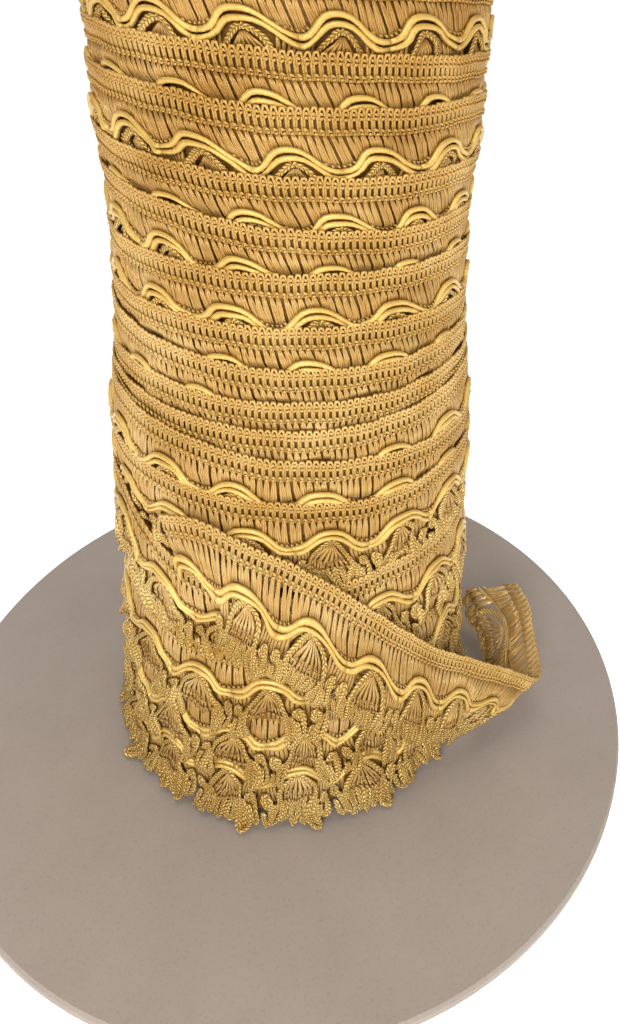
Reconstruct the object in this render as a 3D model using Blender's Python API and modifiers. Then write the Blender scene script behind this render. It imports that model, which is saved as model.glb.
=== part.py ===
"""Lace trim of gold gimp braid, wound into a tall roll that stands on a round card disc.

Metres, +Z up. The centre of the disc's underside is the origin, and the front, where
the loose end of the trim crosses the roll, faces -Y. Angles are seen from above, in
degrees anticlockwise from +X, so the front is at 270.
"""
import bisect
import math

import bmesh
import bpy
from mathutils import Vector

MM = 0.001

# Card disc.
DISC_RADIUS = 0.100
DISC_THICKNESS = 0.003
DISC_EDGE_ROUND = 0.0006
DISC_SEGMENTS = 120

# The trim: one repeat of its pattern, and its thickness with the raised cords.
TRIM_REPEAT = 0.0185
TRIM_THICKNESS = 0.0016

# Pieces that touch in the real thing are kept this far apart. The loose end lies on the
# uneven roll with a little more.
PIECE_GAP = 0.0003
LOOSE_END_GAP = 0.00045

# The roll's axis, and the heights of its two ends above the card.
ROLL_AXIS = (0.0009, -0.00135)
ROLL_TOP = 0.206
ROLL_FOOT = 0.0042
ROLL_SEGMENTS = 68
ROWS_A_TURN = 3

# The trim descends anticlockwise. A turn is counted from the back of the roll, and its
# upper edge is given where it passes these angles.
SEAM_ANGLE = 90.0
LEFT_ANGLE = 208.0
FRONT_ANGLE = 284.0
RIGHT_ANGLE = 348.0

# Upper edge of each turn that shows, as heights above the card in mm. The last column
# is how far the trim under the edge stands out over the trim above it. It is negative
# near the foot, where the fans of the turn above hang over the turn below.
TURN_COLUMNS = ("left", "front", "right", "step")
TURNS = (
    (193.6, 189.7, 188.4, 1.5),
    (185.0, 179.8, 180.1, 1.5),
    (172.0, 167.9, 167.6, 1.5),
    (163.5, 156.5, 155.9, 1.5),
    (150.0, 148.0, 147.6, 1.5),
    (138.2, 136.5, 134.6, 1.4),
    (131.8, 126.9, 127.2, 1.3),
    (122.2, 119.3, 119.9, 1.2),
    (116.3, 113.1, 115.4, 1.0),
    (112.2, 106.1, 102.6, 1.2),
    (99.3, 95.7, 89.2, 1.5),
    (87.0, 66.5, 62.0, 1.5),
    (56.0, 48.0, 45.5, -1.5),
    (38.5, 33.5, 31.5, -1.5),
    (22.5, 20.0, 19.0, -1.5),
)

# Radius of the roll by height above the card, both in mm.
PROFILE_COLUMNS = ("height", "radius")
PROFILE = (
    (0.0, 52.0),
    (6.0, 50.9),
    (15.0, 50.2),
    (30.0, 49.7),
    (50.0, 48.8),
    (60.0, 48.9),
    (68.0, 48.4),
    (76.0, 47.6),
    (93.0, 47.2),
    (100.0, 46.9),
    (106.0, 46.2),
    (113.0, 45.2),
    (124.0, 44.1),
    (134.0, 43.6),
    (146.0, 43.1),
    (158.0, 43.1),
    (166.0, 44.0),
    (172.0, 44.5),
    (206.0, 44.5),
)

# The ring of picots at the foot: a large one each repeat, smaller ones between.
FOOT_REPEATS = 17
FOOT_LARGE_PICOT_ANGLE = 262.6
FOOT_SMALL_REACH = 0.0008
FOOT_LARGE_REACH = 0.0036
FOOT_PICOT_THICKNESS = 0.0022

# The wound end at the top is shown as a low spiral of edges around a plain middle.
TOP_RINGS = 4
TOP_RING_STEP = 0.0036
TOP_RING_RIDGE = 0.0008

# The loose end. Each row is a place along it, from the tucked end at the left, across
# the front, round the sharp bend at the right to its plain cut end behind. Angles are
# in degrees about the roll's axis, radii and heights above the card in mm.
STATION_COLUMNS = (
    "header_angle", "header_radius", "header_height",
    "picot_angle", "picot_radius", "picot_height",
)
STATIONS = (
    (238.0, 48.6, 88.0, 252.0, 50.1, 61.0),
    (250.5, 48.5, 90.7, 254.5, 50.1, 57.0),
    (262.0, 48.6, 87.6, 256.5, 50.1, 54.5),
    (275.4, 48.7, 82.3, 265.0, 50.1, 50.0),
    (287.0, 49.0, 74.7, 275.5, 50.3, 43.5),
    (298.0, 49.9, 65.5, 286.5, 50.9, 35.0),
    (309.0, 50.6, 55.0, 297.5, 52.2, 26.0),
    (319.0, 51.6, 44.8, 308.5, 54.2, 18.5),
    (331.0, 55.9, 35.0, 317.5, 56.2, 13.4),
    (339.2, 62.7, 27.0, 323.0, 56.6, 11.6),
    (344.3, 68.5, 20.8, 327.0, 56.8, 10.6),
    (347.6, 73.2, 16.2, 330.0, 56.9, 10.0),
    (350.4, 74.6, 15.4, 333.0, 57.0, 9.6),
    (354.0, 73.8, 17.4, 338.5, 57.0, 9.0),
    (357.8, 72.2, 21.5, 349.0, 56.6, 8.6),
    (363.2, 71.0, 25.8, 364.0, 55.6, 8.6),
    (368.8, 68.8, 27.2, 385.0, 53.6, 11.0),
)
STRIP_COLUMNS_A_REPEAT = 5
STRIP_ROWS = 6

# How far each of the five places in a repeat reaches past the mean lower edge, as a
# share of the way there from the header: notch, small picot, large picot, notch and
# middle picot.
SCALLOP = (-0.06, 0.00, 0.07, -0.05, 0.03)


def remove_all_objects():
    for old in list(bpy.data.objects):
        bpy.data.objects.remove(old, do_unlink=True)


def make_collection(name):
    collection = bpy.data.collections.new(name)
    bpy.context.scene.collection.children.link(collection)
    return collection


def make_material(name, color, roughness, metallic):
    material = bpy.data.materials.new(name)
    material.use_nodes = True
    shader = material.node_tree.nodes["Principled BSDF"]
    shader.inputs["Base Color"].default_value = (*color, 1.0)
    shader.inputs["Roughness"].default_value = roughness
    shader.inputs["Metallic"].default_value = metallic
    return material


def finish_object(name, mesh, material, collection):
    mesh.materials.append(material)
    part = bpy.data.objects.new(name, mesh)
    collection.objects.link(part)
    return part


def mesh_from_bmesh(name, shape):
    bmesh.ops.remove_doubles(shape, verts=shape.verts, dist=0.02 * MM)
    bmesh.ops.recalc_face_normals(shape, faces=shape.faces)
    mesh = bpy.data.meshes.new(name)
    shape.to_mesh(mesh)
    shape.free()
    return mesh


def curve_through(knots, at):
    """Value at `at` of the smooth curve through knots, each a pair of place and value."""
    places = [place for place, _ in knots]
    if at <= places[0]:
        return knots[0][1]
    if at >= places[-1]:
        return knots[-1][1]
    last = len(knots) - 1
    right = min(bisect.bisect_right(places, at), last)
    left = right - 1

    def slope(index):
        before = knots[max(index - 1, 0)]
        after = knots[min(index + 1, last)]
        return (after[1] - before[1]) / (after[0] - before[0])

    span = places[right] - places[left]
    t = (at - places[left]) / span
    start = knots[left][1]
    end = knots[right][1]
    return (
        start * (2 * t**3 - 3 * t**2 + 1)
        + slope(left) * span * (t**3 - 2 * t**2 + t)
        + end * (3 * t**2 - 2 * t**3)
        + slope(right) * span * (t**3 - t**2)
    )


def straight_through(knots, at):
    """Like curve_through, with straight lines between the knots."""
    for (left, start), (right, end) in zip(knots, knots[1:]):
        if at <= right:
            share = max(0.0, (at - left) / (right - left))
            return start + share * (end - start)
    return knots[-1][1]


def around_roll(angle, radius, height):
    """Point at an angle and radius about the roll's axis, at a height above the card."""
    turned = math.radians(angle)
    return Vector((
        ROLL_AXIS[0] + radius * math.cos(turned),
        ROLL_AXIS[1] + radius * math.sin(turned),
        DISC_THICKNESS + height,
    ))


def turn_knots():
    """Knots of the descending edge and of its step, placed by turns from the top."""
    edge = [(1.0, ROLL_TOP)]
    step = [(1.0, 0.0)]
    for number, values in enumerate(TURNS, start=1):
        row = dict(zip(TURN_COLUMNS, values))
        for column, angle in (
            ("left", LEFT_ANGLE), ("front", FRONT_ANGLE), ("right", RIGHT_ANGLE),
        ):
            place = number + (angle - SEAM_ANGLE) / 360.0
            edge.append((place, row[column] * MM))
            step.append((place, row["step"] * MM))
    lowest = len(TURNS) + 1.0
    edge.append((lowest, ROLL_FOOT))
    step.append((lowest, 0.0))
    return edge, step


def roll_radius(height):
    knots = [(place * MM, radius * MM) for place, radius in PROFILE]
    return straight_through(knots, height)


def top_ring(shape, ring, radius, height):
    """New ring of corners inside `ring`, joined to it."""
    inner = []
    for index in range(ROLL_SEGMENTS):
        angle = SEAM_ANGLE + 360.0 * index / ROLL_SEGMENTS
        inner.append(shape.verts.new(around_roll(angle, radius, height)))
    for index in range(ROLL_SEGMENTS):
        after = (index + 1) % ROLL_SEGMENTS
        shape.faces.new((ring[index], ring[after], inner[after], inner[index]))
    return inner


def build_wound_roll(material, collection):
    """One body: a band that winds down the roll, its edges laid over each other."""
    edge_knots, step_knots = turn_knots()
    turns = len(TURNS) + 1

    def edge(place):
        height = curve_through(edge_knots, place)
        if height > ROLL_TOP - 0.6 * MM:
            return ROLL_TOP
        if height < ROLL_FOOT + 0.6 * MM:
            return ROLL_FOOT
        return height

    def step(place):
        return straight_through(step_knots, place)

    shape = bmesh.new()
    band = []
    for column in range(turns * ROLL_SEGMENTS + 1):
        place = column / ROLL_SEGMENTS
        angle = SEAM_ANGLE + 360.0 * place
        upper = edge(place)
        lower = edge(place + 1.0)
        upper_inset = max(0.0, -step(place))
        lower_inset = max(0.0, step(place + 1.0))
        corners = []
        for row in range(ROWS_A_TURN):
            share = row / (ROWS_A_TURN - 1)
            height = upper + share * (lower - upper)
            inset = upper_inset + share * (lower_inset - upper_inset)
            radius = roll_radius(height) - inset
            corners.append(shape.verts.new(around_roll(angle, radius, height)))
        band.append(corners)

    for column in range(turns * ROLL_SEGMENTS):
        near = band[column]
        far = band[column + 1]
        for row in range(ROWS_A_TURN - 1):
            shape.faces.new((near[row], near[row + 1], far[row + 1], far[row]))
        under = column + ROLL_SEGMENTS
        if under + 1 < len(band):
            shape.faces.new((near[-1], band[under][0], band[under + 1][0], far[-1]))

    rim = [band[index][0] for index in range(ROLL_SEGMENTS)]
    radius = roll_radius(ROLL_TOP)
    for number in range(TOP_RINGS):
        radius -= TOP_RING_STEP
        ridge = TOP_RING_RIDGE * (number % 2)
        rim = top_ring(shape, rim, radius, ROLL_TOP - TOP_RING_RIDGE + ridge)
    shape.faces.new(rim)

    foot = [corners[-1] for corners in band[-ROLL_SEGMENTS - 1:-1]]
    for height in (FOOT_PICOT_THICKNESS, PIECE_GAP):
        reach = []
        for index in range(ROLL_SEGMENTS):
            angle = SEAM_ANGLE + 360.0 * index / ROLL_SEGMENTS
            beat = math.cos(math.radians((angle - FOOT_LARGE_PICOT_ANGLE) * FOOT_REPEATS))
            extra = FOOT_SMALL_REACH + FOOT_LARGE_REACH * max(0.0, beat)**2
            radius = roll_radius(0.0) + extra
            reach.append(shape.verts.new(around_roll(angle, radius, height)))
        for index in range(ROLL_SEGMENTS):
            after = (index + 1) % ROLL_SEGMENTS
            shape.faces.new((foot[index], reach[index], reach[after], foot[after]))
        foot = reach
    shape.faces.new(list(reversed(foot)))

    mesh = mesh_from_bmesh("wound_roll", shape)
    return finish_object("wound_roll", mesh, material, collection)


def station_point(row, side):
    return around_roll(
        row[side + "_angle"], row[side + "_radius"] * MM, row[side + "_height"] * MM
    )


def build_loose_end(material, collection):
    """The strip between the header's edge and the picots' edge, thickened both ways."""
    rows = [dict(zip(STATION_COLUMNS, values)) for values in STATIONS]
    places = [0.0]
    for before, after in zip(rows, rows[1:]):
        header_run = (station_point(after, "header") - station_point(before, "header")).length
        places.append(places[-1] + header_run)
    knots = {
        column: [(place, row[column]) for place, row in zip(places, rows)]
        for column in STATION_COLUMNS
    }

    repeats = places[-1] / TRIM_REPEAT
    columns = round(repeats * STRIP_COLUMNS_A_REPEAT)
    shape = bmesh.new()
    grid = []
    for column in range(columns + 1):
        at = places[-1] * column / columns
        row = {name: curve_through(knots[name], at) for name in STATION_COLUMNS}
        header = station_point(row, "header")
        picot = station_point(row, "picot")
        reach = 1.0 + SCALLOP[column % len(SCALLOP)]
        line = []
        for step in range(STRIP_ROWS + 1):
            share = step / STRIP_ROWS * reach
            angle = row["header_angle"] + share * (row["picot_angle"] - row["header_angle"])
            radius = row["header_radius"] + share * (row["picot_radius"] - row["header_radius"])
            height = header.z + share * (picot.z - header.z)
            height -= DISC_THICKNESS
            laid = roll_radius(height) + LOOSE_END_GAP + TRIM_THICKNESS / 2
            point = around_roll(angle, max(radius * MM, laid), height)
            line.append(shape.verts.new(point))
        grid.append(line)
    for near, far in zip(grid, grid[1:]):
        for step in range(STRIP_ROWS):
            shape.faces.new((near[step], near[step + 1], far[step + 1], far[step]))

    mesh = mesh_from_bmesh("loose_end", shape)
    part = finish_object("loose_end", mesh, material, collection)
    solidify = part.modifiers.new("thickness", "SOLIDIFY")
    solidify.thickness = TRIM_THICKNESS
    solidify.offset = 0.0
    solidify.use_even_offset = True
    return part


def build_card_disc(material, collection):
    shape = bmesh.new()
    bmesh.ops.create_cone(
        shape, cap_ends=True, segments=DISC_SEGMENTS, radius1=DISC_RADIUS,
        radius2=DISC_RADIUS, depth=DISC_THICKNESS,
    )
    bmesh.ops.translate(shape, verts=shape.verts, vec=(0.0, 0.0, DISC_THICKNESS / 2))
    mesh = bpy.data.meshes.new("card_disc")
    shape.to_mesh(mesh)
    shape.free()
    part = finish_object("card_disc", mesh, material, collection)
    bevel = part.modifiers.new("soft edge", "BEVEL")
    bevel.width = DISC_EDGE_ROUND
    bevel.segments = 1
    bevel.limit_method = "ANGLE"
    return part


def main():
    remove_all_objects()
    collection = make_collection("lace_trim_roll")
    card = make_material("grey_card", (0.38, 0.33, 0.29), 0.9, 0.0)
    wound_yarn = make_material("wound_gold_yarn", (0.60, 0.38, 0.10), 0.42, 0.25)
    loose_yarn = make_material("loose_gold_yarn", (0.66, 0.43, 0.12), 0.42, 0.25)
    build_card_disc(card, collection)
    build_wound_roll(wound_yarn, collection)
    build_loose_end(loose_yarn, collection)


main()
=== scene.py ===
"""The lace trim's looks: gold gimp braid in wound turns and a loose end, on a card disc.

Lengths on the trim are in mm: u runs along it, v across it from the header's upper
edge, and w out from its back. They become metres in the frame when they are placed.
"""

import math

import bpy
import numpy as np
from mathutils import Matrix, Vector


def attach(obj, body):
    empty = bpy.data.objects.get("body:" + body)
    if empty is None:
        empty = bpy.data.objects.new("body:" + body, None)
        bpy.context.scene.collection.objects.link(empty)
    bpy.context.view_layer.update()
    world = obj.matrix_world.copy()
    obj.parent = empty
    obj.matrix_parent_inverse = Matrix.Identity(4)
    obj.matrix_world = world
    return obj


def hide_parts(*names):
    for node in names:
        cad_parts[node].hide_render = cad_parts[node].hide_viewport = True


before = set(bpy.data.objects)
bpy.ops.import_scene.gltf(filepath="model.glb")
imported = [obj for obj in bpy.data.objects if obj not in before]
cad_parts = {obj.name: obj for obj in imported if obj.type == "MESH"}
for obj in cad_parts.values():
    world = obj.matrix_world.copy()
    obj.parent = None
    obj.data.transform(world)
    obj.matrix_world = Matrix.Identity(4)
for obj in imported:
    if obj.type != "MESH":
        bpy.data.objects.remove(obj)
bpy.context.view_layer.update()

MM = 0.001
CARD = 3.0
AXIS = (0.9, -1.35)
ROLL_TOP = 206.0
SEED = 7

# One repeat of the trim.
REPEAT = 18.5
WIDTH = 27.8
COLUMNS = 12
COLUMN = REPEAT / COLUMNS
HEADER_FOOT = 5.3
CORD_CREST = 7.9
CORD_VALLEY = 12.2
CORD_SPACING = 1.5
CORD_RADIUS = 0.62
CORD_LIFT = 0.75

# Header edge of each turn, in mm above the card at five angles about the roll's axis,
# then how far a turn stands out over the one above, the angle of a crest of its cords,
# the repeats from there to the next turn's crest, and how far its floats lean.
EDGE_ANGLES = (208.0, 240.0, 270.0, 305.0, 340.0)
TURN_COLUMNS = ("edge", "step", "crest", "repeats", "lean")
TURNS = (
    ((205.6, 204.9, 204.0, 203.4, 203.0), 1.0, 285.0, 16, 0.40),
    ((193.4, 191.5, 190.1, 189.0, 188.4), 1.0, 291.0, 16, 0.45),
    ((184.8, 182.6, 180.3, 179.6, 180.0), 1.0, 296.3, 15, 0.45),
    ((171.6, 169.0, 167.4, 166.6, 166.6), 1.0, 286.4, 15, 0.45),
    ((163.3, 160.2, 157.2, 155.5, 155.7), 1.0, 285.2, 15, 0.40),
    ((149.7, 148.5, 147.7, 147.2, 146.8), 0.9, 281.1, 15, 0.32),
    ((138.0, 137.0, 136.4, 135.8, 134.8), 0.7, 279.4, 15, 0.30),
    ((131.6, 129.3, 127.3, 126.5, 127.0), 0.6, 272.7, 16, 0.25),
    ((122.2, 121.0, 119.8, 119.4, 120.0), 0.5, 280.0, 16, 0.10),
    ((116.3, 114.9, 113.4, 113.6, 115.3), 0.5, 282.0, 16, 0.10),
    ((112.2, 110.0, 107.0, 104.9, 103.8), 0.6, 283.6, 16, 0.05),
    ((99.3, 98.2, 96.6, 95.0, 95.8), 1.2, 286.4, 16, 0.05),
    ((88.0, 76.5, 71.5, 74.6, 74.0), 1.3, 280.0, 16, 0.05),
    ((57.0, 53.6, 52.8, 52.4, 52.2), -1.5, 268.8, 17, 0.0),
    ((39.0, 37.8, 37.5, 37.4, 37.2), -1.5, 279.3, 17, 0.0),
    ((25.2, 24.8, 24.8, 24.8, 24.8), -1.5, 276.7, 17, 0.0),
)
LAST = len(TURNS)
# Places and heights of the header edge behind the roll, where a turn falls unevenly.
BACK_EDGES = ((13.0, 68.5), (13.2, 63.0), (15.05, 26.4))
# From the first place down the turns show their fans. From the second, their lobes are a
# piece of their own, and the lobes under the fans end at the third.
LOWER = 11.3
FOOT_FANS = 13.7
UNDER_RIGHT = 12.5
# Place where the turns are split in two pieces, and where the outermost turn begins.
SPLIT = 8.0
TOP_START = -0.25
# Turns of the wound end that show as edges at the top, from the middle outwards.
INNER_TURNS = 7
INNER_PITCH = 4.2

# Radius of the roll by height above the card.
PROFILE = (
    (0.0, 52.0), (6.0, 50.9), (15.0, 50.2), (30.0, 49.7), (50.0, 48.8), (60.0, 48.9),
    (68.0, 48.4), (76.0, 47.6), (93.0, 47.2), (100.0, 46.9), (106.0, 46.2), (113.0, 45.2),
    (124.0, 44.1), (134.0, 43.6), (146.0, 43.1), (158.0, 43.1), (166.0, 44.0),
    (172.0, 44.5), (206.0, 44.5),
)

# The loose end: places along it from its tucked end to its cut end. Angles in degrees
# about the roll's axis, radii and heights above the card in mm.
STATION_COLUMNS = (
    "header_angle", "header_radius", "header_height",
    "picot_angle", "picot_radius", "picot_height",
)
STATIONS = (
    (238.0, 48.6, 88.0, 252.0, 50.1, 61.0),
    (250.5, 48.5, 90.7, 254.5, 50.1, 57.0),
    (262.0, 48.6, 87.6, 256.5, 50.1, 54.5),
    (275.4, 48.7, 82.3, 265.0, 50.1, 50.0),
    (287.0, 49.0, 74.7, 275.5, 50.3, 43.5),
    (298.0, 49.9, 65.5, 286.5, 50.9, 35.0),
    (309.0, 50.6, 55.0, 297.5, 52.2, 26.0),
    (319.0, 51.6, 44.8, 308.5, 54.2, 18.5),
    (331.0, 55.9, 35.0, 317.5, 56.2, 13.4),
    (339.2, 62.7, 27.0, 323.0, 56.6, 11.6),
    (344.3, 68.5, 20.8, 327.0, 56.8, 10.6),
    (347.6, 73.2, 16.2, 330.0, 56.9, 10.0),
    (350.4, 74.6, 15.4, 333.0, 57.0, 9.6),
    (354.0, 73.8, 17.4, 338.5, 57.0, 9.0),
    (357.8, 72.2, 21.5, 349.0, 56.6, 8.6),
    (363.2, 71.0, 25.8, 364.0, 55.6, 8.6),
    (368.8, 68.8, 27.2, 385.0, 53.6, 11.0),
)
LOOSE_LIFT = 1.0
# Places of the loose end's crests along its header, by number, and how far across it,
# as a share of its width, each distance from the header hangs: its floats are slack.
LOOSE_CRESTS = (
    (-2, -15.0), (-1, 3.4), (0, 23.8), (1, 43.3), (2, 64.3), (3, 83.8), (4, 104.8),
    (5, 122.8), (6, 139.8), (7, 156.8), (8, 173.8),
)
LOOSE_HANG = (
    (0.0, 0.0), (5.3, 0.178), (7.9, 0.340), (12.2, 0.490), (17.5, 0.740), (27.8, 1.0),
    (32.0, 1.12),
)
# Its floats lean by LOOSE_LEAN, less over the fade to LEAN_END along it.
LOOSE_LEAN, LEAN_END, LEAN_FADE = 0.40, 100.0, 30.0
# From FLAT_START on, what lies near its cord's crests hangs lower, by a share of its width.
FLAT_CREST, FLAT_REACH, FLAT_START, FLAT_FADE = 0.05, 4.3, 98.0, 20.0
# Its unevenness: the repeats it starts from, and its share along, across and outwards.
LOOSE_START, LOOSE_SHARE, LOOSE_OUT = 40.0, 0.7, 0.5
# Its fringe starts LOOSE_FRINGE along it, and the rest of it LOOSE_EDGE from either end.
LOOSE_FRINGE, LOOSE_EDGE = 15.0, 0.5

# Sizes in mm of the trim's slow unevenness: at the header, and what the fringe adds.
WANDER_ALONG = (0.10, 0.75)
WANDER_ACROSS = (0.12, 0.45)
WANDER_OUT = (0.10, 0.55)
WANDER_FROM, WANDER_OVER = 6.0, 12.0

# How a turn lies on the roll, in mm and places. It leans over LEAN_OVER from LEAN_FROM.
LEAN_FROM, LEAN_OVER, LEAN_RADIUS = 4.0, 8.0, 46.0
# Between two places the fringe hangs longer, by a share, from LONG_FROM across.
LONG_START, LONG_END, LONG_FADE = 11.6, 12.95, 0.3
LONG_SHARE, LONG_FROM, LONG_OVER = 0.30, 16.0, 12.0
# The last turn's fringe bends out onto the card.
FOOT_TURN, FOOT_FLOOR, FOOT_BEND = LAST - 1.02, 0.9, 3.0
# A turn lies deeper by its step at each gap, and by TUCK more where the next one covers it.
MOST_GAPS, TUCK, TUCK_OVER = 3.5, 1.4, 2.0
# From PACKED down the turns lie close, each deepest at its header. PLAIN_INSET stands in
# where a turn has no step.
PACKED, PACKED_FADE, PLAIN_INSET = 12.45, 0.5, 2.4
FRINGE_INSET, FRINGE_SLOPE, FRINGE_WIDTH = 0.6, 0.10, 23.0
BACK_LIFT = 0.45

# How far the dark sheet of painted shade behind the yarns reaches across the trim, how much less
# at the foot, and patches where a turn falls so fast that the roll would show: how much more,
# start, fade, end and fade.
SHADE_SHEET_REACH = 24.5
FOOT_LESS, FOOT_START, FOOT_FADE = 4.0, 12.3, 1.0
SHADE_SHEET_PATCHES = ((5.5, 11.6, 0.2, 12.38, 0.05), (2.5, 12.75, 0.1, 13.2, 0.1))
SHADE_SHEET_DEPTH = -0.6


def smooth_knots(knots, at):
    """Values at `at` of the smooth curve through knots, each a pair of place and value."""
    x = np.array([k[0] for k in knots], float)
    y = np.array([k[1] for k in knots], float)
    slope = np.empty_like(y)
    slope[1:-1] = (y[2:] - y[:-2]) / (x[2:] - x[:-2])
    slope[0] = (y[1] - y[0]) / (x[1] - x[0])
    slope[-1] = (y[-1] - y[-2]) / (x[-1] - x[-2])
    at = np.clip(np.asarray(at, float), x[0], x[-1])
    i = np.clip(np.searchsorted(x, at, side="right") - 1, 0, len(x) - 2)
    span = x[i + 1] - x[i]
    t = (at - x[i]) / span
    return (
        y[i] * (2 * t**3 - 3 * t**2 + 1) + slope[i] * span * (t**3 - 2 * t**2 + t)
        + y[i + 1] * (3 * t**2 - 2 * t**3) + slope[i + 1] * span * (t**3 - t**2)
    )


def smoothstep(x):
    x = np.clip(x, 0.0, 1.0)
    return x * x * (3 - 2 * x)


def place_of(turn, angle):
    return turn + (angle - 90.0) / 360.0


def turn_rows():
    return [dict(zip(TURN_COLUMNS, values)) for values in TURNS]


def header_knots():
    knots = [(-INNER_TURNS - 1.0, ROLL_TOP - 0.4), (0.0, ROLL_TOP - 0.4)]
    for turn, row in enumerate(turn_rows()):
        for angle, height in zip(EDGE_ANGLES, row["edge"]):
            knots.append((place_of(turn, angle), height))
    knots.append((LAST + 0.1, TURNS[-1][0][-1]))
    return sorted(knots + list(BACK_EDGES))


HEADER_KNOTS = header_knots()
STEP_KNOTS = [(place_of(k, 270.0), row["step"]) for k, row in enumerate(turn_rows())]
LEAN_KNOTS = [(place_of(k, 270.0), row["lean"]) for k, row in enumerate(turn_rows())]


def crest_knots():
    """Pairs of repeat number and place down the roll, one at each turn's known crest."""
    number = 0
    knots = []
    for turn, row in enumerate(turn_rows()):
        knots.append((number, place_of(turn, row["crest"])))
        number += row["repeats"]
    return knots


CREST_KNOTS = crest_knots()


def place_at(number):
    """Place down the roll of a repeat number, going on evenly past both ends."""
    n = np.array([k[0] for k in CREST_KNOTS], float)
    t = np.array([k[1] for k in CREST_KNOTS], float)
    number = np.asarray(number, float)
    place = np.interp(number, n, t)
    place = np.where(number < n[0], t[0] + (number - n[0]) / 16.0, place)
    return np.where(number > n[-1], t[-1] + (number - n[-1]) / 17.0, place)


def header_height(place):
    return smooth_knots(HEADER_KNOTS, place)


def header_gap(place):
    """How much of a turn shows under its header before the next turn covers it."""
    return np.maximum(header_height(place) - header_height(np.asarray(place) + 1.0), 0.3)


def roll_radius(height):
    return np.interp(height, [p[0] for p in PROFILE], [p[1] for p in PROFILE])


def interp_knots(knots, at):
    return np.interp(at, [k[0] for k in knots], [k[1] for k in knots])


def wander(number, v):
    """Slow unevenness of handmade trim: shifts along and across it, and outwards.

    The rates and starts of the waves have no meaning, except that no two repeats match.
    """
    low = smoothstep((v - WANDER_FROM) / WANDER_OVER)
    along = (WANDER_ALONG[0] + WANDER_ALONG[1] * low) * (
        np.sin(5.1 * number + 0.35 * v) + 0.5 * np.sin(9.7 * number - 0.5 * v + 1.3)
    )
    across = (WANDER_ACROSS[0] + WANDER_ACROSS[1] * low) * (
        np.sin(3.3 * number + 0.9) + 0.8 * np.sin(8.9 * number + 0.25 * v + 2.1)
    )
    out = (
        WANDER_OUT[0] * np.sin(7.7 * number + 1.1)
        + WANDER_OUT[1] * low * np.sin(17.3 * number + 0.6 * v)
    )
    return along, across, out


def on_roll(number, v, w):
    """Points in mm of the wound turns, from repeat number, v across and w outwards."""
    along, across, out = wander(number, v)
    number = number + along / REPEAT
    v = v + across
    w = w + out
    place = place_at(number)
    lean = interp_knots(LEAN_KNOTS, place)
    angle = np.radians(90.0 + 360.0 * place)
    angle = angle + lean * np.clip(v - LEAN_FROM, 0, LEAN_OVER) / LEAN_RADIUS
    v = v + (
        LONG_SHARE * np.clip(v - LONG_FROM, 0, LONG_OVER)
        * smoothstep((place - LONG_START) / LONG_FADE) * smoothstep((LONG_END - place) / LONG_FADE)
    )
    top = header_height(place)
    gap = header_gap(place)
    step = interp_knots(STEP_KNOTS, place)
    height = top - v
    start = top - FOOT_FLOOR - FOOT_BEND
    over = np.where(place > FOOT_TURN, np.maximum(v - start, 0.0), 0.0)
    turned = np.minimum(over / FOOT_BEND, math.pi / 2)
    height = np.where(over > 0, FOOT_FLOOR + FOOT_BEND - FOOT_BEND * np.sin(turned), height)
    flare = FOOT_BEND * (1 - np.cos(turned)) + np.maximum(over - FOOT_BEND * math.pi / 2, 0.0)
    shingle = step * np.clip(v / gap, 0, MOST_GAPS) + TUCK * smoothstep((v - gap) / TUCK_OVER)
    fringe = FRINGE_INSET + FRINGE_SLOPE * np.clip(FRINGE_WIDTH - v, 0, FRINGE_WIDTH)
    blend = smoothstep((place - PACKED) / PACKED_FADE)
    inset = (1 - blend) * np.where(step > 0, shingle, PLAIN_INSET) + blend * fringe
    base = roll_radius(np.clip(height, 0, ROLL_TOP)) - inset - BACK_LIFT
    base = base + np.minimum(place, 0.0) * INNER_PITCH
    radius = base + flare + w * np.cos(turned)
    height = height + w * np.sin(turned)
    return np.stack([
        AXIS[0] + radius * np.cos(angle), AXIS[1] + radius * np.sin(angle), CARD + height,
    ], axis=-1)


def station_table():
    """Each column of the stations by the run of the header, and the whole run."""
    rows = [dict(zip(STATION_COLUMNS, values)) for values in STATIONS]
    points = [
        np.array([
            row["header_radius"] * math.cos(math.radians(row["header_angle"])),
            row["header_radius"] * math.sin(math.radians(row["header_angle"])),
            row["header_height"],
        ]) for row in rows
    ]
    run = [0.0]
    for before, after in zip(points, points[1:]):
        run.append(run[-1] + float(np.linalg.norm(after - before)))
    knots = {name: [(at, row[name]) for at, row in zip(run, rows)] for name in STATION_COLUMNS}
    return knots, run[-1]


STATION_KNOTS, LOOSE_RUN = station_table()


def strip_surface(along, share):
    """Points in mm of the loose end, from the run of its header and the share across."""
    row = {name: smooth_knots(STATION_KNOTS[name], along) for name in STATION_COLUMNS}
    angle = row["header_angle"] + share * (row["picot_angle"] - row["header_angle"])
    radius = row["header_radius"] + share * (row["picot_radius"] - row["header_radius"])
    height = row["header_height"] + share * (row["picot_height"] - row["header_height"])
    laid = roll_radius(np.clip(height, 0, ROLL_TOP)) + LOOSE_LIFT
    radius = np.maximum(radius, laid)
    turned = np.radians(angle)
    return np.stack([
        AXIS[0] + radius * np.cos(turned), AXIS[1] + radius * np.sin(turned), CARD + height,
    ], axis=-1)


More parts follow.
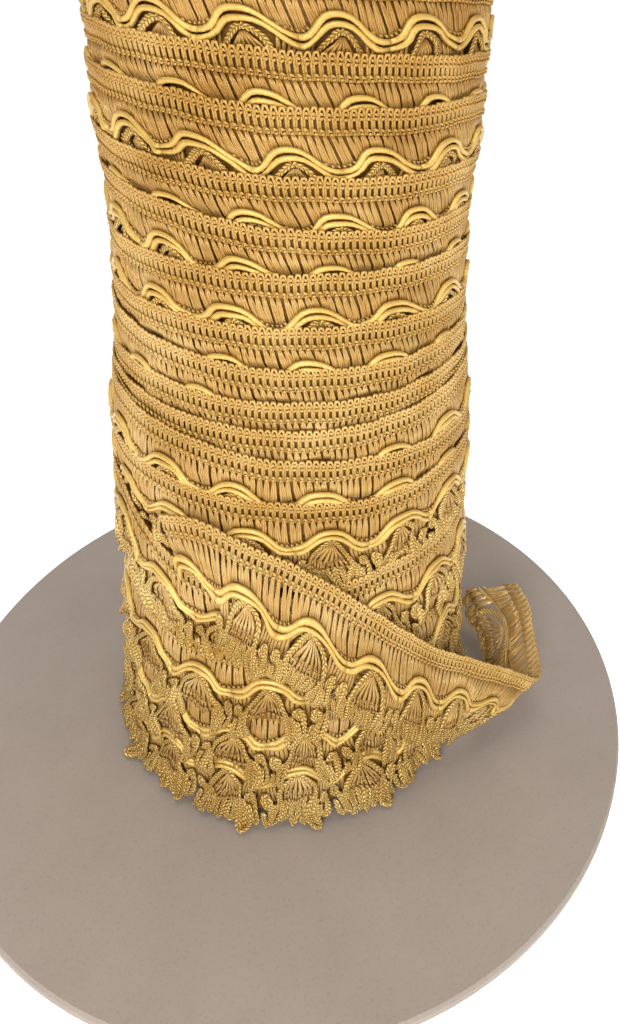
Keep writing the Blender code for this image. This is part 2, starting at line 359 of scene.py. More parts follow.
def on_loose_end(number, v, w):
    """Points in mm of the loose end, w out from its face."""
    shift, across, out = wander(number + LOOSE_START, v)
    number = number + LOOSE_SHARE * shift / REPEAT
    v = v + LOOSE_SHARE * across
    w = w + LOOSE_OUT * out
    along = smooth_knots(LOOSE_CRESTS, number)
    along = along + (
        LOOSE_LEAN * np.clip(v - HEADER_FOOT, 0, LEAN_OVER)
        * smoothstep((LEAN_END - along) / LEAN_FADE)
    )
    share = smooth_knots(LOOSE_HANG, v) + np.minimum(v, 0.0) / WIDTH
    share = share + (
        FLAT_CREST * np.clip(1 - np.abs(v - CORD_CREST) / FLAT_REACH, 0, 1)
        * smoothstep((along - FLAT_START) / FLAT_FADE)
    )
    point = strip_surface(along, share)
    d = 0.4
    run = strip_surface(along + d, share) - strip_surface(along - d, share)
    across = strip_surface(along, share + d / WIDTH) - strip_surface(along, share - d / WIDTH)
    normal = np.cross(across, run)
    normal /= np.maximum(np.linalg.norm(normal, axis=-1, keepdims=True), 1e-9)
    return point + normal * np.asarray(w)[..., None]


class Yarns:
    """Yarn shapes of one repeat in u, v and w. Every shape is one closed tube."""

    def __init__(self):
        self.points = []
        self.faces = []
        self.threads = []
        self.middles = []
        self.count = 0

    def tube(self, path, wide, thick=None, sides=5, tip=0.5):
        """A tube along path, `wide` and `thick` its half width and half thickness."""
        path = np.asarray(path, float)
        n = len(path)
        wide = np.broadcast_to(np.asarray(wide, float), (n,))
        thick = wide if thick is None else np.broadcast_to(np.asarray(thick, float), (n,))
        run = np.gradient(path, axis=0)
        run /= np.linalg.norm(run, axis=1, keepdims=True)
        side = np.cross(run, (0.0, 0.0, 1.0))
        side /= np.maximum(np.linalg.norm(side, axis=1, keepdims=True), 1e-6)
        up = np.cross(side, run)
        turn = 2 * math.pi * (np.arange(sides) + 0.5) / sides
        ring = (
            path[:, None, :]
            + side[:, None, :] * (np.cos(turn)[None, :, None] * wide[:, None, None])
            + up[:, None, :] * (np.sin(turn)[None, :, None] * thick[:, None, None])
        )
        ends = [path[0] - run[0] * tip * wide[0], path[-1] + run[-1] * tip * wide[-1]]
        points = np.concatenate([ring.reshape(-1, 3), ends])
        along = np.concatenate([[0.0], np.cumsum(np.linalg.norm(np.diff(path, axis=0), axis=1))])
        round_ = 2 * math.pi * float(wide.mean())
        faces, threads = [], []
        for i in range(n - 1):
            for j in range(sides):
                a, b = i * sides + j, i * sides + (j + 1) % sides
                faces.append((a, b, b + sides, a + sides))
                s0, s1 = round_ * j / sides, round_ * (j + 1) / sides
                u0, u1 = along[i], along[i + 1]
                threads.append(((u0, s0), (u0, s1), (u1, s1), (u1, s0)))
        first, last = n * sides, n * sides + 1
        for j in range(sides):
            a, b = j, (j + 1) % sides
            s0, s1 = round_ * j / sides, round_ * (j + 1) / sides
            faces.append((b, a, first, first))
            threads.append(((0, s1), (0, s0), (0, s0), (0, s0)))
            a, b = a + (n - 1) * sides, b + (n - 1) * sides
            faces.append((a, b, last, last))
            threads.append(((along[-1], s0), (along[-1], s1), (along[-1], s1), (along[-1], s1)))
        self.keep(points, faces, threads)

    def bead(self, middle, run, length, wide, thick, sides=5):
        """A short pointed stitch around `middle` along `run`."""
        middle = np.asarray(middle, float)
        run = np.asarray(run, float) / np.linalg.norm(run)
        side = np.cross(run, (0.0, 0.0, 1.0))
        side /= np.linalg.norm(side)
        up = np.cross(side, run)
        turn = 2 * math.pi * (np.arange(sides) + 0.5) / sides
        ring = middle + side * (np.cos(turn) * wide)[:, None] + up * (np.sin(turn) * thick)[:, None]
        points = np.concatenate([ring, [middle - run * length / 2, middle + run * length / 2]])
        faces, threads = [], []
        for j in range(sides):
            k = (j + 1) % sides
            faces += [(k, j, sides, sides), (j, k, sides + 1, sides + 1)]
            threads += [
                ((0, k), (0, j), (-length, j), (-length, j)),
                ((0, j), (0, k), (length, k), (length, k)),
            ]
        self.keep(points, faces, threads)

    def keep(self, points, faces, threads):
        """Add a shape. Its middle and number are kept with each of its faces."""
        faces = np.asarray(faces, int) + sum(len(p) for p in self.points)
        self.points.append(points)
        self.faces.append(faces)
        self.threads.append(np.asarray(threads, float))
        self.middles.append(np.full((len(faces), 3), (*points.mean(axis=0)[:2], self.count)))
        self.count += 1

    def arrays(self):
        return (
            np.concatenate(self.points), np.concatenate(self.faces),
            np.concatenate(self.threads), np.concatenate(self.middles),
        )


def arc_points(points, count):
    """`count` even points of the smooth curve through a short list of (u, v, w)."""
    points = np.asarray(points, float)
    length = np.concatenate([[0.0], np.cumsum(np.linalg.norm(np.diff(points, axis=0), axis=1))])
    at = np.linspace(0.0, length[-1], count)
    axes = [smooth_knots(list(zip(length, axis)), at) for axis in points.T]
    return np.stack(axes, axis=1)


def path_length(points):
    return float(np.linalg.norm(np.diff(np.asarray(points, float), axis=0), axis=1).sum())


def cord_v(u):
    """Middle of the upper cord across the trim, crests at whole repeats."""
    phase = 2 * math.pi * np.asarray(u) / REPEAT
    beat = np.cos(phase - 0.16 * np.sin(2 * phase))
    middle = (CORD_CREST + CORD_VALLEY) / 2
    return middle - (CORD_VALLEY - CORD_CREST) / 2 * (beat + 0.12 * (1 - beat**2))


# Chain rows of the header: place across, tilt, length of a stitch and half its width.
HEADER_ROWS = (
    (1.32, 0.55, 1.65, 0.42), (2.15, -0.55, 1.65, 0.42), (4.30, 0.45, 1.75, 0.42),
    (4.98, -0.5, 1.45, 0.34),
)


def header_yarns(rng, rows, sides=4):
    """Looped edge, chain rows and ladder of the header."""
    yarns = Yarns()
    half = 0.54
    for column in range(COLUMNS):
        u = (column + 0.5) * COLUMN
        high = rng.uniform(-0.16, 0.16)
        arch = [
            (u - half, 5.2, 0.0), (u - half, 1.05, 0.15), (u - half * 0.55, 0.28 + high, 0.36),
            (u + half * 0.55, 0.28 + high, 0.36), (u + half, 1.05, 0.15), (u + half, 5.2, 0.0),
        ]
        yarns.tube(arch, np.array([0.28, 0.33, 0.38, 0.38, 0.33, 0.28]), 0.34, sides=sides)
        for v, tilt, length, wide in rows:
            middle = (u + rng.uniform(-0.09, 0.09), v + rng.uniform(-0.08, 0.08), 0.36)
            yarns.bead(middle, (1.0, tilt, 0.1), length, wide, 0.38, sides=4)
    return yarns


STRANDS = 3


def float_yarns(rng):
    """Satin floats from the header to the upper cord, with hooks in the valleys."""
    yarns = Yarns()
    for column in range(COLUMNS):
        middle = (column + 0.5) * COLUMN
        bow = 0.30 * math.sin(column * 2.4) + rng.uniform(-0.25, 0.25)
        lean = 0.30 * math.sin(column * 1.7 + 1.0)
        for strand in range(STRANDS):
            side = strand - (STRANDS - 1) / 2
            u = middle + 0.22 * side
            foot_u = middle + 0.50 * side + lean * 0.6 + rng.uniform(-0.14, 0.14)
            foot = float(cord_v(foot_u)) + 0.1
            lift = rng.uniform(-0.14, 0.16) - 0.10 * abs(side)
            run = foot - HEADER_FOOT
            upper_u = middle + 0.42 * side + 0.5 * bow
            path = [
                (u, HEADER_FOOT - 0.15, -0.10),
                (upper_u, HEADER_FOOT + 0.35 * run, 0.26 + lift),
            ]
            if run > 3.6:
                lower_u = 0.5 * (middle + foot_u) + 0.22 * side + 0.8 * bow
                path.append((lower_u, HEADER_FOOT + 0.72 * run, 0.24 + lift))
            path.append((foot_u, foot, -0.10))
            wide = np.array([0.20] + [0.34] * (len(path) - 2) + [0.26]) * rng.uniform(0.90, 1.15)
            yarns.tube(path, wide, wide * 0.95, sides=4)
    for index in range(6):
        u = REPEAT * (0.5 + (index - 2.5) * 0.058)
        yarns.bead((u, float(cord_v(u)) - 1.05, 0.70), (0.9, 0.6, 0.1), 1.10, 0.42, 0.44, sides=4)
    for index in range(9):
        u = REPEAT * (0.27 + 0.46 * (index + 0.5) / 9)
        top = float(cord_v(u)) + CORD_SPACING + 0.3
        yarns.tube(
            [(u, top, -0.25), (u, (top + 17.4) / 2, -0.05), (u + 0.1, 17.4, -0.35)],
            np.array([0.44, 0.54, 0.44]), 0.26, sides=4,
        )
    return yarns


def cord_yarns():
    """The two raised satin cords, one repeat of each from valley to valley."""
    yarns = Yarns()
    steps = 15
    for number in range(2):
        u = np.linspace(-0.5, 0.5, steps) * REPEAT
        crest = 0.5 + 0.5 * np.cos(2 * math.pi * u / REPEAT)
        v = cord_v(u) + number * (CORD_SPACING + 0.18 * crest)
        path = np.stack([u, v, CORD_LIFT - 0.10 * number + 0.12 * crest], axis=1)
        yarns.tube(path, CORD_RADIUS, CORD_RADIUS, sides=6, tip=0.0)
    return yarns


# Paths of the braid, as shares of a repeat along, mm across and mm out: a fan's two arms,
# and the large lobe and the small ones between two fans.
ARM_PATHS = (
    (
        (0.010, 10.9, 0.45), (0.060, 11.2, 0.60), (0.145, 12.6, 0.75),
        (0.225, 14.8, 0.80), (0.268, 17.2, 0.80),
    ),
    (
        (0.990, 10.9, 0.45), (0.940, 11.2, 0.60), (0.855, 12.6, 0.75),
        (0.775, 14.8, 0.80), (0.732, 17.2, 0.80),
    ),
)
LOBE_PATHS = (
    (
        (0.268, 17.0, 0.75), (0.230, 19.3, 0.85), (0.210, 22.2, 0.95),
        (0.216, 24.4, 0.90), (0.240, 25.7, 0.88),
        (0.268, 26.0, 0.85), (0.296, 25.7, 0.88), (0.320, 24.4, 0.90),
        (0.326, 22.2, 0.95), (0.308, 19.3, 0.85),
        (0.300, 18.0, 0.60),
    ),
    (
        (0.268, 18.8, 0.45), (0.268, 21.5, 0.60), (0.268, 24.4, 0.45),
    ),
    (
        (0.405, 18.6, 0.60), (0.368, 17.6, 0.80), (0.378, 16.3, 0.85),
        (0.405, 15.8, 0.85), (0.432, 16.3, 0.85),
        (0.446, 18.4, 0.90), (0.447, 21.3, 0.95), (0.434, 22.7, 0.92),
        (0.405, 23.2, 0.90), (0.376, 22.7, 0.92),
        (0.363, 21.3, 0.95), (0.364, 19.6, 0.85),
    ),
    (
        (0.590, 18.6, 0.60), (0.553, 17.6, 0.80), (0.563, 16.3, 0.85),
        (0.590, 15.8, 0.85), (0.617, 16.3, 0.85),
        (0.631, 18.8, 0.90), (0.632, 22.0, 0.95), (0.619, 23.4, 0.92),
        (0.590, 23.9, 0.90), (0.561, 23.4, 0.92),
        (0.548, 22.0, 0.95), (0.549, 20.0, 0.85),
    ),
    (
        (0.732, 17.0, 0.75), (0.750, 20.0, 0.90), (0.752, 22.2, 0.95),
        (0.740, 23.7, 0.92), (0.711, 24.2, 0.90),
        (0.682, 23.7, 0.92), (0.669, 22.2, 0.95), (0.674, 20.0, 0.85), (0.690, 18.0, 0.60),
    ),
)
# The lobes under a fan, which show in the lowest turn and the loose end.
FOOT_PATHS = (
    (
        (-0.192, 18.6, 0.3), (-0.200, 21.4, 0.5), (-0.187, 22.7, 0.5),
        (-0.160, 23.2, 0.5), (-0.133, 22.7, 0.5),
        (-0.120, 21.4, 0.5), (-0.126, 18.8, 0.3),
    ),
    (
        (-0.052, 18.8, 0.3), (-0.060, 22.2, 0.5), (-0.047, 23.6, 0.5),
        (-0.020, 24.1, 0.5), (0.007, 23.6, 0.5),
        (0.020, 22.2, 0.5), (0.012, 18.8, 0.3),
    ),
    (
        (0.093, 18.8, 0.3), (0.085, 22.0, 0.5), (0.098, 23.4, 0.5),
        (0.125, 23.9, 0.5), (0.152, 23.4, 0.5),
        (0.165, 22.0, 0.5), (0.157, 18.8, 0.3),
    ),
)
BRAID_PITCH = 1.30
BRAID_HALF = 0.70
BRAID_THICK = 0.46
STITCH = 0.88
RIBS = (-0.95, -0.58, -0.20, 0.20, 0.58, 0.95)


def braid(yarns, table):
    """A braid along a path of (share of a repeat, v, w), its stitches as swellings."""
    points = [(share * REPEAT, v, w) for share, v, w in table]
    count = 2 * int(path_length(points) / BRAID_PITCH) + 1
    swell = 0.07 * (-1.0) ** np.arange(count)
    yarns.tube(arc_points(points, count), BRAID_HALF + swell, BRAID_THICK + 0.6 * swell, sides=6)


def braid_yarns(paths):
    yarns = Yarns()
    for path in paths:
        braid(yarns, path)
    return yarns


def rib_yarns(rng):
    """The satin ribs of a fan with a round end each, and the row of stitches below them."""
    yarns = Yarns()
    for place in RIBS:
        end = place * 3.5
        foot = 16.9 - 0.6 * abs(place) + rng.uniform(-0.2, 0.2)
        path = arc_points([
            (0.4 * place, 11.9, 0.05), (0.40 * end + 0.3 * place, 13.6, 0.25),
            (0.85 * end, foot - 1.3, 0.40), (end, foot, 0.25),
        ], 4)
        wide, thick = np.array([0.20, 0.32, 0.46, 0.44]), np.array([0.20, 0.30, 0.40, 0.36])
        yarns.tube(path, wide, thick, sides=4)
        yarns.bead((end, foot + 0.25, 0.42), (1.0, 0.1, 0.0), 1.15, 0.42, 0.42, sides=4)
    for index in range(8):
        u = (index - 3.5) * 1.10
        drop = 0.45 * (u / 4.3)**2
        yarns.bead((u, 18.1 - drop, 0.85), (1.0, 0.5, 0.0), 1.25, 0.42, 0.42, sides=4)
    return yarns


def upright_yarns():
    """Thin upright yarns that hang under a fan."""
    yarns = Yarns()
    start, reach = 16.2, 20.8
    for index in range(10):
        u = (index - 4.5) * 0.92
        low = reach - 0.5 * abs(math.sin(index * 1.9))
        path = [(0.8 * u, start, -0.25), (u, 0.5 * (start + low), 0.10), (u, low, -0.1)]
        yarns.tube(path, np.array([0.34, 0.38, 0.28]), 0.28, sides=4)
    return yarns


def repeated(yarns, numbers, place, keep):
    """Joined copies of one repeat at each number. keep(number, u, v) says which shapes stay."""
    points, faces, threads, middles = yarns.arrays()
    all_points, all_faces, all_threads = [], [], []
    start = 0
    for number in numbers:
        stays = keep(number + middles[:, 0] / REPEAT, middles[:, 1])
        if not stays.any():
            continue
        used_faces = faces[stays]
        used = np.unique(used_faces)
        index = np.full(len(points), -1)
        index[used] = np.arange(len(used))
        local = points[used]
        all_points.append(place(number + local[:, 0] / REPEAT, local[:, 1], local[:, 2]))
        all_faces.append(index[used_faces] + start)
        all_threads.append(threads[stays] + (number * REPEAT, 0.0))
        start += len(used)
    return np.concatenate(all_points), np.concatenate(all_faces), np.concatenate(all_threads)


def make_object(name, points, faces, threads, material):
    """A smooth mesh of quads and triangles. A triangle repeats its last corner."""
    triangle = faces[:, 2] == faces[:, 3]
    sizes = np.where(triangle, 3, 4)
    starts = np.concatenate([[0], np.cumsum(sizes)[:-1]])
    mask = np.ones(faces.shape, bool)
    mask[triangle, 3] = False
    mesh = bpy.data.meshes.new(name)
    mesh.vertices.add(len(points))
    mesh.vertices.foreach_set("co", (np.asarray(points) * MM).astype(np.float32).ravel())
    mesh.loops.add(int(sizes.sum()))
    mesh.loops.foreach_set("vertex_index", faces[mask].astype(np.int32))
    mesh.polygons.add(len(faces))
    mesh.polygons.foreach_set("loop_start", starts.astype(np.int32))
    layer = mesh.uv_layers.new(name="thread")
    layer.data.foreach_set("uv", threads[mask].astype(np.float32).ravel())
    mesh.polygons.foreach_set("use_smooth", np.ones(len(faces), bool))
    mesh.update(calc_edges=True)
    mesh.validate()
    mesh.materials.append(material)
    piece = bpy.data.objects.new(name, mesh)
    bpy.context.scene.collection.objects.link(piece)
    return piece


def joined_object(name, parts, materials):
    """One mesh of several parts, each with a material of its own."""
    start = 0
    points, faces, threads, slots = [], [], [], []
    for number, part in enumerate(parts):
        points.append(part[0])
        faces.append(part[1] + start)
        threads.append(part[2])
        slots.append(np.full(len(part[1]), number, np.int32))
        start += len(part[0])
    piece = make_object(
        name, np.concatenate(points), np.concatenate(faces), np.concatenate(threads), materials[0],
    )
    for material in materials[1:]:
        piece.data.materials.append(material)
    piece.data.polygons.foreach_set("material_index", np.concatenate(slots))
    return piece


def grid_arrays(points):
    """Points, faces and thread places of a smooth open sheet from a grid of points."""
    rows, columns = points.shape[:2]
    index = np.arange(rows * columns).reshape(rows, columns)
    corners = [index[:-1, :-1], index[1:, :-1], index[1:, 1:], index[:-1, 1:]]
    faces = np.stack(corners, axis=-1).reshape(-1, 4)
    places = np.meshgrid(np.arange(rows), np.arange(columns), indexing="ij")
    uv = np.stack(places, axis=-1).reshape(-1, 2)
    return points.reshape(-1, 3), faces, uv[faces].astype(float)


def new_material(name):
    material = bpy.data.materials.new(name)
    material.use_nodes = True
    tree = material.node_tree
    shader = tree.nodes["Principled BSDF"]
    return material, tree, shader


def add_node(tree, kind, **values):
    node = tree.nodes.new(kind)
    for key, value in values.items():
        if key in node.inputs:
            node.inputs[key].default_value = value
        else:
            setattr(node, key, value)
    return node


def color_ramp(tree, factor, stops):
    ramp = tree.nodes.new("ShaderNodeValToRGB")
    tree.links.new(factor, ramp.inputs["Fac"])
    elements = ramp.color_ramp.elements
    while len(elements) < len(stops):
        elements.new(0.5)
    for element, (position, color) in zip(elements, stops):
        element.position = position
        element.color = (*color, 1.0)
    return ramp.outputs["Color"]


def math_node(tree, operation, *values):
    """The output of a math node, each value a number or another node's output."""
    node = add_node(tree, "ShaderNodeMath", operation=operation)
    for number, value in enumerate(values):
        if isinstance(value, (int, float)):
            node.inputs[number].default_value = value
        else:
            tree.links.new(value, node.inputs[number])
    return node.outputs["Value"]


def map_range(tree, value, **limits):
    node = add_node(tree, "ShaderNodeMapRange", **limits)
    tree.links.new(value, node.inputs["Value"])
    return node.outputs["Result"]


# Depths in m of the bumps of fine lines and of plaited stitches.
LINE_DEPTH = 0.00012
PLAIT_DEPTH = 0.00035


def plait_height(tree, thread):
    """Height of a braid's stitches, two slanted rows with a groove between them."""
    axes = add_node(tree, "ShaderNodeSeparateXYZ")
    tree.links.new(thread.outputs["UV"], axes.inputs["Vector"])
    offset = math_node(tree, "SUBTRACT", axes.outputs["Y"], 2 * math.pi * BRAID_HALF / 6)
    away = math_node(tree, "ABSOLUTE", offset)
    hand = math_node(tree, "GREATER_THAN", offset, 0.0)
    along = math_node(tree, "DIVIDE", axes.outputs["X"], STITCH)
    slanted = math_node(tree, "MULTIPLY_ADD", away, -0.75, along)
    phase = math_node(tree, "FRACT", math_node(tree, "MULTIPLY_ADD", hand, 0.5, slanted))
    stitch = math_node(tree, "SINE", math_node(tree, "MULTIPLY", phase, math.pi))
    groove = math_node(tree, "MINIMUM", math_node(tree, "MULTIPLY_ADD", away, 3.5, 0.25), 1.0)
    return math_node(tree, "POWER", math_node(tree, "MULTIPLY", stitch, groove), 0.7)


def yarn_material(name, dark, middle, light, roughness, line_scale, strength, plait=False):
    """Satin yarn: colour drifts over the cloth and runs in fine lines along each yarn."""
    material, tree, shader = new_material(name)
    place = add_node(tree, "ShaderNodeTexCoord")
    drift = add_node(tree, "ShaderNodeTexNoise", Scale=55.0, Detail=3.0, Roughness=0.6)
    tree.links.new(place.outputs["Object"], drift.inputs["Vector"])
    thread = add_node(tree, "ShaderNodeUVMap", uv_map="thread")
    stretch = add_node(tree, "ShaderNodeMapping")
    stretch.inputs["Scale"].default_value = line_scale
    tree.links.new(thread.outputs["UV"], stretch.inputs["Vector"])
    lines = add_node(tree, "ShaderNodeTexNoise", Scale=1.0, Detail=2.0, Roughness=0.5)
    tree.links.new(stretch.outputs["Vector"], lines.inputs["Vector"])
    drifted = math_node(tree, "MULTIPLY", drift.outputs["Fac"], 0.45)
    mixed = math_node(tree, "MULTIPLY_ADD", lines.outputs["Fac"], 0.55, drifted)
    axes = add_node(tree, "ShaderNodeSeparateXYZ")
    tree.links.new(place.outputs["Object"], axes.inputs["Vector"])
    # Painted shade: the upper turns are a little darker, where less light falls on them. Heights in
    # m.
    painted_top_shade = map_range(tree, axes.outputs["Z"], **{"From Min": 0.13, "From Max": 0.21, "To Max": 0.13})
    shade = math_node(tree, "SUBTRACT", mixed, painted_top_shade)
    height, depth = lines.outputs["Fac"], LINE_DEPTH
    if plait:
        stitches = plait_height(tree, thread)
        # Painted light and shade: each stitch is coloured lighter on its top and darker in the
        # groove and between stitches.
        painted_stitch_light = math_node(tree, "MULTIPLY_ADD", stitches, 0.36, -0.24)
        shade = math_node(tree, "ADD", shade, painted_stitch_light)
        height = math_node(tree, "MULTIPLY_ADD", height, 0.2, stitches)
        depth = PLAIT_DEPTH
    color = color_ramp(tree, shade, ((0.32, dark), (0.50, middle), (0.68, light)))
    tree.links.new(color, shader.inputs["Base Color"])
    bump = add_node(tree, "ShaderNodeBump", Strength=strength, Distance=depth)
    tree.links.new(height, bump.inputs["Height"])
    tree.links.new(bump.outputs["Normal"], shader.inputs["Normal"])
    limits = {"To Min": roughness - 0.08, "To Max": roughness + 0.10}
    rough = map_range(tree, lines.outputs["Fac"], **limits)
    tree.links.new(rough, shader.inputs["Roughness"])
    shader.inputs["Metallic"].default_value = 0.30
    return material


def card_material():
    material, tree, shader = new_material("card_board")
    place = add_node(tree, "ShaderNodeTexCoord")
    cloud = add_node(tree, "ShaderNodeTexNoise", Scale=38.0, Detail=5.0, Roughness=0.65)
    fleck = add_node(tree, "ShaderNodeTexNoise", Scale=1400.0, Detail=3.0, Roughness=0.7)
    for noise in (cloud, fleck):
        tree.links.new(place.outputs["Object"], noise.inputs["Vector"])
    board = ((0.30, (0.350, 0.292, 0.247)), (0.70, (0.385, 0.323, 0.276)))
    specks = ((0.28, (0.84, 0.82, 0.80)), (0.46, (1.0, 1.0, 1.0)))
    base = color_ramp(tree, cloud.outputs["Fac"], board)
    spot = color_ramp(tree, fleck.outputs["Fac"], specks)
    mix = add_node(tree, "ShaderNodeMix", data_type="RGBA", blend_type="MULTIPLY")
    mix.inputs["Factor"].default_value = 0.8
    tree.links.new(base, mix.inputs[6])
    tree.links.new(spot, mix.inputs[7])
    tree.links.new(mix.outputs[2], shader.inputs["Base Color"])
    bump = add_node(tree, "ShaderNodeBump", Strength=0.25, Distance=0.0002)
    tree.links.new(fleck.outputs["Fac"], bump.inputs["Height"])
    tree.links.new(bump.outputs["Normal"], shader.inputs["Normal"])
    shader.inputs["Roughness"].default_value = 0.85
    return material


def stage_material():
    material, tree, shader = new_material("pale_floor")
    shader.inputs["Base Color"].default_value = (0.90, 0.90, 0.90, 1.0)
    shader.inputs["Roughness"].default_value = 0.9
    shader.inputs["Emission Color"].default_value = (1.0, 1.0, 1.0, 1.0)
    shader.inputs["Emission Strength"].default_value = 0.70
    return material


def build_stage():
    size = 60.0
    corners = [(-size, -size, 0), (size, -size, 0), (size, size, 0), (-size, size, 0)]
    mesh = bpy.data.meshes.new("floor")
    mesh.from_pydata(corners, [], [(0, 1, 2, 3)])
    floor = bpy.data.objects.new("floor", mesh)
    floor.location.z = -0.0005
    mesh.materials.append(stage_material())
    bpy.context.scene.collection.objects.link(floor)


def build_camera():
    """The photo's camera, recovered from the outlines of the disc and the roll."""
    pitch, roll = 0.3922, 0.0409
    right = (math.cos(roll), math.sin(roll) * math.sin(pitch), math.sin(roll) * math.cos(pitch))
    up = (-math.sin(roll), math.cos(roll) * math.sin(pitch), math.cos(roll) * math.cos(pitch))
    back = (0.0, -math.cos(pitch), math.sin(pitch))
    place = (0.02456, -0.19127, 0.20491)
    data = bpy.data.cameras.new("camera")
    data.sensor_width = 36.0
    data.lens = 28.125
    data.shift_x = -0.07446
    data.shift_y = -0.19857
    data.clip_start = 0.01
    camera = bpy.data.objects.new("camera", data)
    rows = [[right[k], up[k], back[k], place[k]] for k in range(3)] + [[0, 0, 0, 1]]
    camera.matrix_world = Matrix(rows)
    bpy.context.scene.collection.objects.link(camera)
    bpy.context.scene.camera = camera


def area_light(name, place, target, size, power, color=(1, 1, 1)):
    data = bpy.data.lights.new(name, "AREA")
    data.size = size
    data.energy = power
    data.color = color
    light = bpy.data.objects.new(name, data)
    light.location = place
    aim = Vector(target) - Vector(place)
    light.rotation_euler = aim.to_track_quat("-Z", "Y").to_euler()
    bpy.context.scene.collection.objects.link(light)


def build_lights():
    middle = (0.0, 0.0, 0.09)
    area_light("key", (-0.06, -0.80, 0.48), middle, 0.35, 5.9, (1.0, 0.975, 0.95))
    area_light("fill", (0.70, -0.55, 0.45), middle, 0.60, 1.6, (0.96, 0.98, 1.0))
    area_light("top", (-0.05, 0.05, 1.00), middle, 0.60, 3.0)
    world = bpy.data.worlds.new("studio")
    world.use_nodes = True
    world.node_tree.nodes["Background"].inputs["Color"].default_value = (1.0, 1.0, 1.0, 1.0)
    world.node_tree.nodes["Background"].inputs["Strength"].default_value = 0.36
    bpy.context.scene.world = world
    bpy.context.scene.view_settings.view_transform = "Standard"


# Dark, middle and light colour of each yarn, its roughness, the scale of its lines along,
# around and through it, and the strength of its bump.
GOLDS = {
    # Not a yarn: painted shade, the dark colour of the sheets that stand for the shaded depths
    # between the yarns.
    "gold_painted_shade": (
        (0.12, 0.050, 0.002), (0.22, 0.10, 0.006), (0.33, 0.165, 0.016),
        0.6, (2.5, 4.0, 1.0), 0.8,
    ),
    "gold_chain": (
        (0.39, 0.190, 0.024), (0.61, 0.375, 0.100), (0.86, 0.64, 0.290),
        0.39, (3.0, 6.0, 1.0), 0.5,
    ),
    "gold_floats": (
        (0.35, 0.165, 0.024), (0.54, 0.325, 0.090), (0.81, 0.59, 0.270),
        0.35, (0.5, 7.0, 1.0), 0.9,
    ),
    "gold_cord": (
        (0.54, 0.33, 0.07), (0.70, 0.46, 0.12), (0.86, 0.62, 0.22),
        0.34, (6.0, 0.6, 1.0), 0.5,
    ),
    "gold_braid": (
        (0.38, 0.20, 0.03), (0.64, 0.39, 0.09), (0.92, 0.68, 0.26),
        0.36, (3.0, 6.0, 1.0), 1.0,
    ),
}


def shade_sheet_arrays():
    """Painted shade: a dark sheet behind the yarns of every turn, one open sheet wound down the
    roll.
    """
    columns = 80
    places = np.arange(-INNER_TURNS * columns, LAST * columns + 8) / columns
    numbers = np.arange(FIRST_INNER, LAST_NUMBER + 20)
    n = np.interp(places, place_at(numbers), numbers)
    across = np.array([0.02, 0.06, 0.16, 0.28, 0.41, 0.53, 0.65, 0.78, 0.90, 1.0])
    reach = SHADE_SHEET_REACH - FOOT_LESS * smoothstep((places - FOOT_START) / FOOT_FADE)
    for more, start, fade_in, end, fade_out in SHADE_SHEET_PATCHES:
        starts = smoothstep((places - start) / fade_in)
        reach += more * starts * smoothstep((end - places) / fade_out)
    return grid_arrays(on_roll(
        np.repeat(n[:, None], len(across), axis=1), reach[:, None] * across[None, :],
        np.full((len(n), len(across)), SHADE_SHEET_DEPTH),
    ))


def top_arrays():
    """The plain disc of painted shade that closes the roll under the edges of the inner turns."""
    turned = np.radians(np.linspace(0, 360, 73))
    height = np.full(len(turned), CARD + ROLL_TOP - 3.4)
    rings = [
        np.stack([
            AXIS[0] + radius * np.cos(turned), AXIS[1] + radius * np.sin(turned), height,
        ], axis=-1) for radius in (43.0, 36.0, 24.0, 12.0, 0.2)
    ]
    return grid_arrays(np.array(rings))


# Numbers of the first repeat of the inner turns, the first of the outer ones and the last.
FIRST_INNER = -28 * INNER_TURNS
FIRST_OUTER = -26
LAST_NUMBER = CREST_KNOTS[-1][0] + 10
# How much shows of an inner turn, in mm, and how far past the last turn repeats go.
INNER_SHOWING = 3.4
LAST_OVER = 0.08


def shown(margin, low=-99.0, high=99.0):
    """A test of which shapes stay: in some turns, and not far under the next turn."""
    def keep(number, v):
        place = place_at(number)
        ok = (place >= low) & (place < high) & (place > -INNER_TURNS) & (place < LAST + LAST_OVER)
        showing = np.where(place > TOP_START, header_gap(place) + margin, INNER_SHOWING)
        return ok & ((place > LOWER) | (v < showing))
    return keep


def loose_keep(number, v):
    along = smooth_knots(LOOSE_CRESTS, number)
    start = np.where(v > CORD_VALLEY, LOOSE_FRINGE, LOOSE_EDGE)
    return (along > start) & (along < LOOSE_RUN - LOOSE_EDGE)


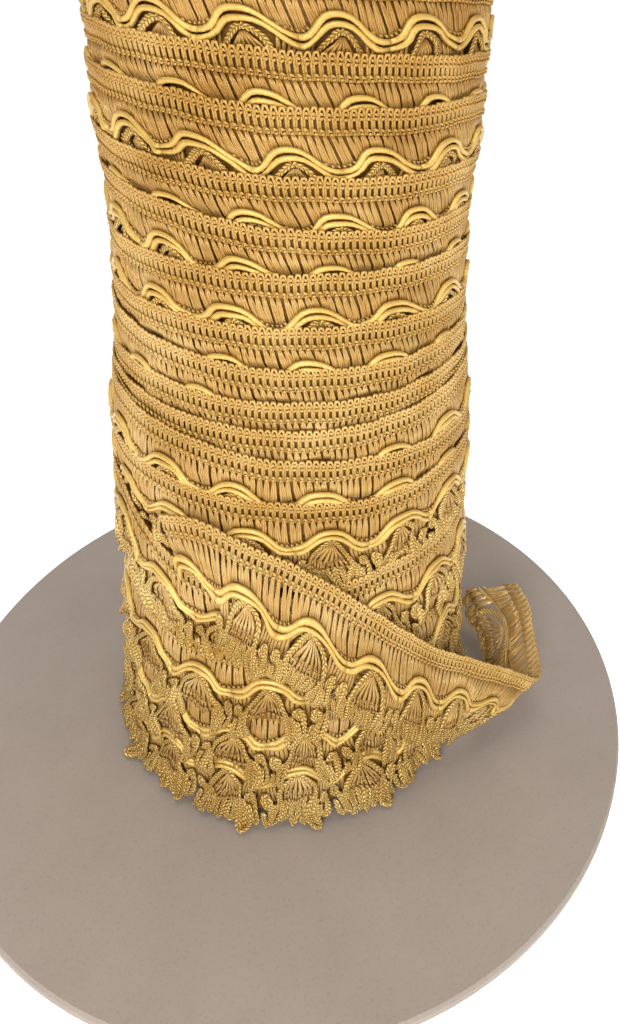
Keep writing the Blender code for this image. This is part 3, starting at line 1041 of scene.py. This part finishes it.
def build_trim():
    rng = np.random.default_rng(SEED)
    shade_gold, header_gold, float_gold, cord_gold, braid_gold = (
        yarn_material(name, *values, plait=name == "gold_braid") for name, values in GOLDS.items()
    )

    header = header_yarns(rng, HEADER_ROWS)
    edge = header_yarns(rng, (), sides=3)
    floats = float_yarns(rng)
    cords = cord_yarns()
    ribs = rib_yarns(rng)
    uprights = upright_yarns()
    arms = braid_yarns(ARM_PATHS)
    lobes = braid_yarns(LOBE_PATHS)
    foot_lobes = braid_yarns(FOOT_PATHS)

    outer = range(FIRST_OUTER, LAST_NUMBER)
    inner = range(FIRST_INNER, 2)
    pieces = []

    def add(name, yarns, numbers, keep, material):
        pieces.append(make_object(name, *repeated(yarns, numbers, on_roll, keep), material))

    add("header_inner", edge, inner, shown(1.2, high=TOP_START), header_gold)
    add("header_upper", header, outer, shown(1.2, TOP_START, SPLIT), header_gold)
    add("header_lower", header, outer, shown(1.2, SPLIT), header_gold)
    add("floats_upper", floats, outer, shown(4.2, high=SPLIT), float_gold)
    add("floats_lower", floats, outer, shown(4.2, SPLIT), float_gold)
    add("cords", cords, outer, shown(2.6), cord_gold)
    add("fans", ribs, outer, shown(3.5), float_gold)
    add("uprights", uprights, outer, shown(1.0, LOWER), float_gold)
    add("arms", arms, outer, shown(4.5), braid_gold)
    add("lobes_mid", lobes, outer, shown(1.0, LOWER, FOOT_FANS), braid_gold)
    add("lobes_foot", lobes, outer, shown(1.0, FOOT_FANS), braid_gold)
    add("lobes_under_right", foot_lobes, outer, shown(1.0, LOWER, UNDER_RIGHT), braid_gold)
    add("lobes_under_foot", foot_lobes, outer, shown(1.0, LAST - 1.0), braid_gold)
    # Dark sheets painted in the colour of shade: behind the yarns of every turn, and at the roll's
    # top.
    under = make_object("wound_shade_sheet", *shade_sheet_arrays(), shade_gold)
    top = make_object("wound_top_shade_sheet", *top_arrays(), shade_gold)
    for piece in pieces + [under, top]:
        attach(piece, "root")
    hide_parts("wound_roll")

    numbers = range(LOOSE_CRESTS[0][0], LOOSE_CRESTS[-1][0] + 1)
    dressing = (
        (header, header_gold), (floats, float_gold), (cords, cord_gold), (ribs, float_gold),
        (uprights, float_gold), (arms, braid_gold), (lobes, braid_gold), (foot_lobes, braid_gold),
    )
    parts = [repeated(yarns, numbers, on_loose_end, loose_keep) for yarns, _ in dressing]
    loose = joined_object("loose_trim", parts, [material for _, material in dressing])
    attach(loose, "root")
    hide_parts("loose_end")


def main():
    build_camera()
    build_stage()
    build_lights()
    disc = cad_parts["card_disc"]
    board = card_material()
    for slot in disc.material_slots:
        slot.material = board
    build_trim()


main()
